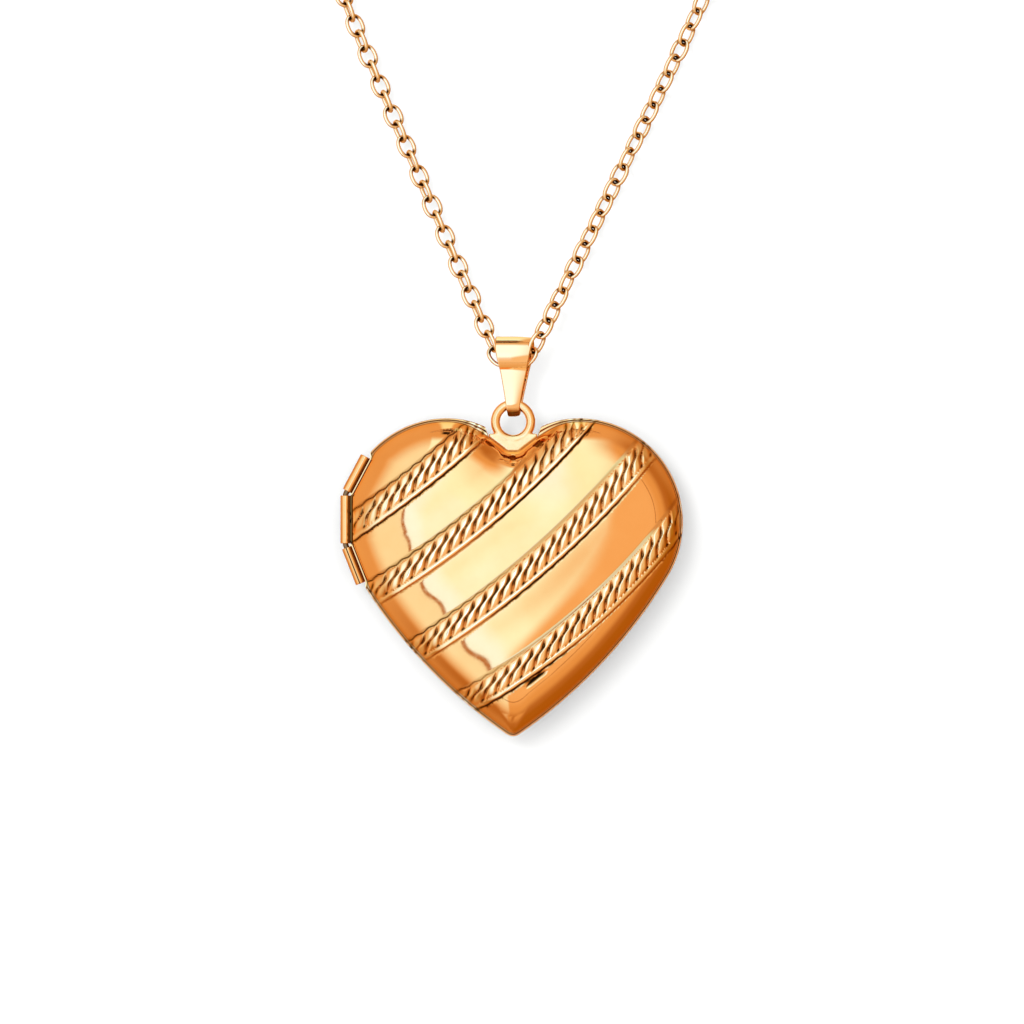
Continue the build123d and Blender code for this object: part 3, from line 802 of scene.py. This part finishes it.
def lattice_faces(x, y, fine):
    """Cells of a lattice of twice the rings and rays: four small ones where fine, else one."""
    rings, rays = x.shape[0] - 1, x.shape[1]
    big_rings, big_rays = rings // 2, rays // 2

    def at(j, i):
        return j * rays + i % rays

    faces = []
    for j in range(big_rings):
        for i in range(big_rays):
            a, b = 2 * j, 2 * i
            if fine[j, i]:
                for dj in (0, 1):
                    for di in (0, 1):
                        faces.append((at(a + dj, b + di), at(a + dj, b + di + 1),
                                      at(a + dj + 1, b + di + 1), at(a + dj + 1, b + di)))
                continue
            face = [at(a, b)]
            if j > 0 and fine[j - 1, i]:
                face.append(at(a, b + 1))
            face.append(at(a, b + 2))
            if fine[j, (i + 1) % big_rays]:
                face.append(at(a + 1, b + 2))
            face.append(at(a + 2, b + 2))
            if j + 1 < big_rings and fine[j + 1, i]:
                face.append(at(a + 2, b + 1))
            face.append(at(a + 2, b))
            if fine[j, i - 1]:
                face.append(at(a + 1, b))
            faces.append(tuple(face))
    return faces


def shell_mesh(name, groups, points, body, material, node, marks):
    """A mesh whose face groups each have their own normals; the painted shade and highlight from
    marks are only on the first group.
    """
    used = np.zeros(len(points), bool)
    for faces, _ in groups:
        for face in faces:
            used[list(face)] = True
    index = np.cumsum(used) - 1
    kept = points[used]
    all_faces, corner_normals = [], []
    for faces, normals in groups:
        for face in faces:
            all_faces.append([int(index[v]) for v in face])
            corner_normals.extend(normals[list(face)].tolist())
    mesh = bpy.data.meshes.new(name)
    mesh.from_pydata(kept.tolist(), [], all_faces)
    mesh.shade_smooth()
    mesh.normals_split_custom_set(corner_normals)
    if marks is not None:
        outer_face = np.zeros(len(points), bool)
        for face in groups[0][0]:
            outer_face[list(face)] = True
        shown = outer_face[used]
        # Painted shade and painted highlight, stored per point for the material.
        dark, bright = marks(kept[:, 0], kept[:, 1])
        point_values(mesh, "shade_and_seam", dark * shown)
        point_values(mesh, "painted_highlight", bright * shown)
    add_piece(name, mesh, body, material, [node])


OUTER_LEVELS = (0, 0.05, 0.10, 0.15, 0.20, 0.25, 0.28, 0.285, 0.30, 0.33, 0.38, 0.46, 0.58, 0.74,
                0.94, 1.2)
INNER_LEVELS = (0.38, 0.6, 0.9, 1.3, 1.8, 2.4, 3.1)


def cover(name, side, outer, inner, fine_at, body, node, material, marks=None):
    """A pressed cover: outside, edge wall, seam face and inside, with heights from the seam."""
    rays, rings, inner_rings = 424, 82, 12
    x, y = cover_lattice(edge_level, side, 2 * rays, halved(OUTER_LEVELS), 2 * rings)
    fine = fine_at(x[1::2, 1::2], y[1::2, 1::2])
    fine[:7] = False                   # the rim's rows are close enough as they are
    faces = lattice_faces(x, y, fine)
    count = x.shape[1]
    last = (x.shape[0] - 1) * count
    faces.append(tuple(last + i for i in range(0, count, 2)))
    ix, iy = cover_lattice(lid_gap, side, rays, INNER_LEVELS, inner_rings)
    top = np.stack([x, y, SEAM + side * outer(x, y)], -1)
    wall_low = np.stack([x[0], y[0], np.full(count, SEAM)], -1)
    under = np.stack([ix, iy, SEAM + side * inner(ix, iy)], -1)
    points = np.concatenate([top.reshape(-1, 3), wall_low, under.reshape(-1, 3)])
    n_top, start = top.shape[0] * count, top.shape[0] * count + count
    along = np.roll(wall_low, -1, 0) - np.roll(wall_low, 1, 0)
    outward = np.stack([along[:, 1], -along[:, 0], 0 * along[:, 0]], 1)
    outward /= np.linalg.norm(outward, axis=1)[:, None]
    top_normals, wall_normals, under_normals = (np.zeros((len(points), 3)) for _ in range(3))
    top_normals[:n_top] = surface_normals(outer, x, y).reshape(-1, 3) * (1, 1, side)
    wall_normals[:count] = outward
    wall_normals[n_top:start] = outward
    seam_normals = np.tile((0.0, 0, -side), (len(points), 1))
    under_normals[start:] = surface_normals(inner, ix, iy).reshape(-1, 3) * (-1, -1, -side)
    wall_faces = [(i, n_top + i, n_top + (i + 2) % count, (i + 2) % count)
                  for i in range(0, count, 2)]
    seam_faces = [(n_top + i, start + i // 2, start + (i // 2 + 1) % rays, n_top + (i + 2) % count)
                  for i in range(0, count, 2)]
    under_faces = [tuple(reversed(face)) for face in ring_faces(ix.shape[0], rays, start=start)]
    under_faces.append(tuple(start + (ix.shape[0] - 1) * rays + i for i in reversed(range(rays))))
    groups = [(faces, top_normals), (wall_faces, wall_normals), (seam_faces, seam_normals),
              (under_faces, under_normals)]
    if side < 0:
        groups = [([face[::-1] for face in group], normals) for group, normals in groups]
    shell_mesh(name, groups, points, body, material, node, marks)


def front_inside(x, y):
    return dome_rise(dome_run(x, y) - WALL, EDGE_H - WALL)


def near_stripes(x, y):
    return np.minimum.reduce([np.abs(stripe_place(x, y, stripe)[1]) for stripe in STRIPES]) < 1.32


cover("front_cover_skin", 1, front_height, front_inside, near_stripes, "front_half", "front_cover",
      embossed_gold, stripe_shade_and_highlight)

# ---- back cover
BACK_EDGE = 3.6


def back_rise(run, depth):
    corner = 1 - np.clip(run, 0, BACK_EDGE) / BACK_EDGE
    return depth * np.sqrt(np.maximum(0, 1 - corner ** 2))


def back_height(x, y):
    """Depth of the back cover's outer surface below the seam; its middle is flat."""
    run = dome_run(x, y)
    depth = np.minimum(RIM_H + back_rise(run, SEAM - RIM_H), SEAM)
    return depth - rim_relief(x, y, run, 0.06)


def back_inside(x, y):
    return back_rise(dome_run(x, y) - WALL, SEAM - WALL)


def nowhere(x, y):
    return np.zeros(x.shape, bool)


cover("back_cover_skin", -1, back_height, back_inside, nowhere, "rear_half", "back_cover",
      rose_gold)


# ---- swept pieces
def rounded_section(half_w, half_t, radius, crown, steps=6, across=7):
    """Points and normals of a rounded bar's section; its outer face falls away to the right."""
    points, normals = [], []
    for corner_u, corner_v, first in ((1, 1, 0), (-1, 1, 90), (-1, -1, 180), (1, -1, 270)):
        for k in range(steps):
            angle = math.radians(first + 90 * k / (steps - 1))
            nu, nv = math.cos(angle), math.sin(angle)
            points.append((corner_u * (half_w - radius) + radius * nu,
                           corner_v * (half_t - radius) + radius * nv))
            normals.append((nu, nv))
        if first in (0, 180):
            for k in range(1, across):
                u = corner_u * (half_w - radius) * (1 - 2 * k / across)
                points.append((u, corner_v * half_t))
                normals.append((0, corner_v))
    points, normals = np.array(points), np.array(normals, float)
    rightward = np.clip(points[:, 0] / half_w + 0.15, 0, None)
    points[:, 1] -= crown * rightward ** 2 * (points[:, 1] > 0)
    normals[:, 0] += 2 * crown * rightward / half_w * (normals[:, 1] > 0.5)
    return points, normals / np.linalg.norm(normals, axis=1)[:, None]


# ---- bail
BAIL_T = 0.35
BAIL_TOP, BAIL_TOP_R = (17.85, 1.75), 1.75
BAIL_LOW, BAIL_LOW_R = (13.66, 2.30), 1.10
WAIST_Y, WAIST_Z = 16.70, 2.80


def arc_of(centre, radius, first, last, count):
    angle = np.radians(np.linspace(first, last, count))
    return np.stack([centre[0] + radius * np.cos(angle), centre[1] + radius * np.sin(angle)], 1)


def bail_line():
    """The strip's middle line as seen from the side, as (y, z) points round the loop."""
    half = BAIL_T / 2
    top = arc_of(BAIL_TOP, BAIL_TOP_R - half, -80, 108, 48)
    low = arc_of(BAIL_LOW, BAIL_LOW_R - half, 92, 286, 40)
    waist = np.array([WAIST_Y, WAIST_Z])
    fall = np.linspace(top[-1], waist, 9)[1:-1]
    fall[:, 1] += 0.05 * np.sin(np.linspace(0, math.pi, 9)[1:-1])
    leg = np.linspace(waist, low[0], 14)[:-1]
    back = np.linspace(low[-1], top[0], 16)[1:-1]
    return np.concatenate([top, fall, leg, low, back])


def bail_width(y):
    """Half width of the strip at a height."""
    return np.interp(y, [12.5, 13.0, 14.8, 16.7, 18.4, 19.6], [0.50, 0.535, 0.83, 1.19, 1.56, 1.65])


def bail():
    line = bail_line()
    tangent = np.roll(line, -1, 0) - np.roll(line, 1, 0)
    tangent /= np.linalg.norm(tangent, axis=1)[:, None]
    outward = np.stack([tangent[:, 1], -tangent[:, 0]], 1)
    points, normals = [], []
    for (y, z), (oy, oz) in zip(line, outward):
        section, section_normals = rounded_section(bail_width(y), BAIL_T / 2, 0.10, crown=0.075)
        lean = 0.11 * (3.1 - z)
        for (u, v), (nu, nv) in zip(section, section_normals):
            points.append((u + lean, y + v * oy, z + v * oz))
            normals.append((nu, nv * oy, nv * oz))
    faces = ring_faces(len(line), len(points) // len(line), True)
    piece = mesh_piece("bail_strip", points, faces, "bail", bail_gold, normals,
                       ["bail"])
    place = np.array(points)
    # Painted shade on the low loop where it passes through the eyelet.
    wear_and_shade = 0.55 * np.exp(-((place[:, 1] - 12.7) / 0.42) ** 4) * (place[:, 2] > 1.9)
    point_values(piece.data, "shade_and_seam", wear_and_shade)


bail()


# ---- cast pieces
EYE_Y, EYE_Z, EYE_R, EYE_HOLE, EYE_T = 12.1, 2.30, 1.95, 1.15, 1.10


def eye_ring():
    """The eyelet's round ring with a flattened section."""
    around, sides = 96, 28
    t = np.arange(around) / around * TAU
    s = np.arange(sides) / sides * TAU
    half_w, half_t = (EYE_R - EYE_HOLE) / 2, EYE_T / 2
    radius = (EYE_R + EYE_HOLE) / 2 + half_w * np.sign(np.cos(s)) * np.abs(np.cos(s)) ** 0.7
    z = EYE_Z + half_t * np.sign(np.sin(s)) * np.abs(np.sin(s)) ** 0.7
    points = [(r * math.cos(a), EYE_Y + r * math.sin(a), h) for a in t for r, h in zip(radius, z)]
    return points, [face[::-1] for face in ring_faces(around, sides, True)]


def eye_foot():
    """The shield-shaped foot that fills the cleft below the ring."""
    x = np.linspace(-2.12, 2.12, 31)
    reach = LOBE_X - np.abs(x)
    width = rim_width(x, np.full_like(x, 10.0))
    low = np.maximum(INNER_Y + np.sqrt((INNER_R - width) ** 2 - reach ** 2), 9.50)
    high = np.clip(INNER_Y + np.sqrt(INNER_R ** 2 - reach ** 2), 10.36, 11.05)
    outline = list(zip(x, low)) + list(zip(x[::-1], high[::-1]))
    return prism(outline, 1.85, 2.84)


cast("eyelet_casting", [eye_ring(), eye_foot()], 0.055, 16, "rear_half", "eyelet")


# ---- hinge knuckles
PIN_HOLE = 0.27
END_GAP = 0.10


def knuckle(name, start, end, seam, body, node):
    """A rolled tube with softened ends and the fine line where its sheet meets."""
    start, end = np.array(start), np.array(end)
    length = np.linalg.norm(end - start)
    along = (end - start) / length
    side = np.array([along[1], -along[0]])
    soft = 0.07
    profile = [(0.0, PIN_HOLE), (0.0, KNUCKLE_R - soft)]
    profile += [(soft * (1 - math.cos(a)), KNUCKLE_R - soft * (1 - math.sin(a)))
                for a in (0.4, 0.8, 1.2, 1.57)]
    profile += [(length * k / 8, KNUCKLE_R) for k in range(1, 8)]
    profile += [(length - s, r) for s, r in reversed(profile[:6])]
    profile.append((length - 0.02, PIN_HOLE))
    profile.append((0.02, PIN_HOLE))
    sides = 96
    angles = np.arange(sides) / sides * TAU
    points = []
    for s, r in profile:
        for a in angles:
            off = (a - seam + math.pi) % TAU - math.pi
            cut = 0.05 * math.exp(-(off * KNUCKLE_R / 0.035) ** 2) * (r > PIN_HOLE + 0.01)
            place = start + along * s + side * (r - cut) * math.cos(a)
            points.append((place[0], place[1], SEAM + (r - cut) * math.sin(a)))
    piece = mesh_piece(name, points, ring_faces(len(profile), sides, True), body,
                       seam_and_shade_gold, None, [node])
    # Painted shade on each tube's two flanks, with a dark line along its seam.
    flank = np.abs(np.cos(angles)) ** 6 * 0.42
    rolled = 0.8 * np.exp(-(((angles - seam + math.pi) % TAU - math.pi) * KNUCKLE_R / 0.05) ** 2)
    point_values(piece.data, "shade_and_seam", np.tile(np.maximum(flank, rolled), len(profile)))


knuckle("hinge_tube_upper", upper_at(UPPER_START), upper_at(UPPER_END), 0.5, "rear_half",
        "hinge_knuckle_upper")
knuckle("hinge_tube_middle", (HINGE_X, HINGE_LOW + END_GAP), (HINGE_X, HINGE_TOP - END_GAP), 0.9,
        "front_half", "hinge_knuckle_middle")
knuckle("hinge_tube_lower", lower_at(LOWER_END), lower_at(LOWER_START), 1.7, "rear_half",
        "hinge_knuckle_lower")


# ---- picture frames
FRAME_IN, FRAME_W, FRAME_T, FRAME_GAP, FRAME_SKIRT = 1.20, 1.55, 0.28, 0.10, 0.28
SKIRT_END = FRAME_GAP + FRAME_T + 0.50


def picture_frame(name, side, body, node):
    """A heart frame with a beaded inner edge and a skirt that holds the window and card."""
    beading = [(0.0, 0.06), (0.03, 0.015), (0.08, 0), (0.45, 0), (0.50, 0.05), (0.56, 0.05),
               (0.62, 0), (1.15, 0.02), (1.40, 0.09), (1.52, 0.18), (FRAME_W, FRAME_T),
               (FRAME_SKIRT, FRAME_T)]
    section = [(0.0, SKIRT_END), *((inset, FRAME_GAP + depth) for inset, depth in beading),
               (FRAME_SKIRT, SKIRT_END)]
    rings = []
    for inset, depth in section:
        ring = heart_ring(FRAME_IN + inset)
        rings.append(np.column_stack([ring, np.full(len(ring), SEAM + side * depth)]))
    faces = ring_faces(len(rings), len(rings[0]), True)
    if side < 0:
        faces = [face[::-1] for face in faces]
    piece = mesh_piece(name, np.concatenate(rings), faces, body, rose_gold, None,
                       [node])
    piece.data.set_sharp_from_angle(angle=math.radians(40))


picture_frame("front_picture_frame", 1, "front_half", "front_photo_frame")
picture_frame("back_picture_frame", -1, "rear_half", "back_photo_frame")

# ---- table and light
HALF = 3.0                             # half size of the table, m
WALL_SIDES = 96


def stage_piece(name, points, faces):
    """A mesh in metres that isn't part of the object, and its shader."""
    mesh = bpy.data.meshes.new(name)
    mesh.from_pydata(points, [], faces)
    obj = bpy.data.objects.new(name, mesh)
    scene.collection.objects.link(obj)
    material, _, shader = node_tree(name)
    mesh.materials.append(material)
    obj.visible_glossy = False
    return obj, shader


corners = [(-HALF, -HALF, 0), (HALF, -HALF, 0), (HALF, HALF, 0), (-HALF, HALF, 0)]
floor, floor_shader = stage_piece("floor", corners, [(0, 1, 2, 3)])
floor.location.z = -0.00002
floor_shader.inputs["Base Color"].default_value = (0.885, 0.885, 0.88, 1)
floor_shader.inputs["Roughness"].default_value = 0.9

# A plain white wall round the floor, seen only by the camera.
wall_ring = [(HALF * math.cos(k / WALL_SIDES * TAU), HALF * math.sin(k / WALL_SIDES * TAU))
             for k in range(WALL_SIDES)]
wall, wall_shader = stage_piece(
    "backdrop", [(x, y, z) for z in (0, 2 * HALF) for x, y in wall_ring],
    [(k, (k + 1) % WALL_SIDES, WALL_SIDES + (k + 1) % WALL_SIDES, WALL_SIDES + k)
     for k in range(WALL_SIDES)])
wall_shader.inputs["Base Color"].default_value = (0, 0, 0, 1)
wall_shader.inputs["Emission Color"].default_value = (1, 1, 1, 1)
wall_shader.inputs["Emission Strength"].default_value = 1.0
wall.visible_diffuse = wall.visible_transmission = wall.visible_shadow = False


def world_light():
    """The studio that the metal reflects: a soft box overhead, warm sides, dark low on the right.

    Colours are laid over each other by direction; z is up and right_low falls to the lower right.
    """
    world = bpy.data.worlds.new("studio")
    scene.world = world
    world.use_nodes = True
    world.cycles_visibility.diffuse = False
    tree = world.node_tree
    coords = add_node(tree, "TexCoord", {})
    x, y, z = add_node(tree, "SeparateXYZ", {0: coords.outputs["Generated"]}).outputs

    def math_node(kind, first, second):
        return add_node(tree, "Math", {0: first, 1: second}, operation=kind).outputs[0]

    def step(value, start, end):
        """0 at start to 1 at end; end may be the smaller."""
        low, high = min(start, end), max(start, end)
        rises = float(end > start)
        return remap(tree, value, low, high, 1 - rises, rises, interpolation_type="SMOOTHSTEP")

    def all_of(*factors):
        result = factors[0]
        for factor in factors[1:]:
            result = math_node("MULTIPLY", result, factor)
        return result

    def layer(under, over, factor):
        return blend_colours(tree, factor, under, over)

    right_low = math_node("ADD", math_node("MULTIPLY", x, 0.77), math_node("MULTIPLY", y, -0.64))
    colour = layer((0.62, 0.32, 0.11), (0.52, 0.22, 0.05), step(z, -0.5, 0.0))
    colour = layer(colour, (0.84, 0.50, 0.20), step(z, 0.05, 0.45))
    colour = layer(colour, (0.97, 0.68, 0.38), step(z, 0.45, 0.85))
    left_warm = all_of(step(right_low, 0.0, -0.4), step(z, 0.6, 0.3), 0.8)
    colour = layer(colour, (0.92, 0.60, 0.29), left_warm)
    left_high = all_of(step(x, -0.10, -0.20), step(z, 0.12, 0.80))
    colour = layer(colour, (1.04, 1.22, 1.20), left_high)
    low_dark = all_of(step(right_low, 0.25, 0.7), step(z, 0.10, -0.25))
    colour = layer(colour, (0.45, 0.17, 0.013), low_dark)
    behind = all_of(step(x, -0.09, -0.04), step(x, 0.09, 0.04), step(y, 0.1, 0.4))
    colour = layer(colour, (1.04, 1.25, 1.05), all_of(behind, step(z, -0.20, -0.26)))
    dark_band = all_of(behind, step(z, -0.26, -0.20), step(z, 0.15, 0.10))
    colour = layer(colour, (0.02, 0.007, 0.001), dark_band)
    thin_line = all_of(step(z, 0.685, 0.695), step(z, 0.715, 0.705), step(right_low, 0.1, 0.25))
    colour = layer(colour, (0.42, 0.18, 0.04), all_of(thin_line, 0.9))
    box_rows = all_of(step(y, -0.60, -0.15), step(y, 0.98, 0.88))
    frame_rows = all_of(step(y, -0.5, -0.3), step(y, 0.34, 0.26))
    frame_strip = all_of(step(x, -0.222, -0.214), step(x, -0.185, -0.193), frame_rows)
    colour = layer(colour, (0.50, 0.22, 0.06), frame_strip)
    box_left = step(x, -0.195, -0.185)
    box_right = all_of(step(x, 0.45, 0.02), step(right_low, 0.18, 0.0))
    box = all_of(box_left, box_right, box_rows, step(z, 0.0, 0.2))
    colour = layer(colour, (1.05, 1.56, 1.75), box)
    glow = all_of(box_left, step(x, 0.04, -0.14), box_rows, step(y, 0.5, 0.2))
    colour = layer(colour, (1.08, 1.66, 2.5), glow)
    tree.links.new(colour, tree.nodes["Background"].inputs["Color"])


world_light()


def place_light(name, data, towards, place=(0, 0, 0)):
    """A light that points one way and isn't seen itself, in view or in the metal."""
    light = bpy.data.objects.new(name, data)
    light.location = place
    light.rotation_euler = Vector(towards).to_track_quat("-Z", "Y").to_euler()
    light.visible_glossy = False
    light.visible_camera = False
    scene.collection.objects.link(light)


KEY_PLACE = Vector((-0.35, 0.30, 0.75))
key = bpy.data.lights.new("key", "AREA")
key.shape = "DISK"
key.size = 0.30
key.energy = 1.6
place_light("key", key, -KEY_PLACE, KEY_PLACE)

sky = bpy.data.lights.new("sky", "SUN")
sky.angle = math.radians(110)
sky.energy = 3.6
place_light("sky", sky, (0.16, -0.14, -1))
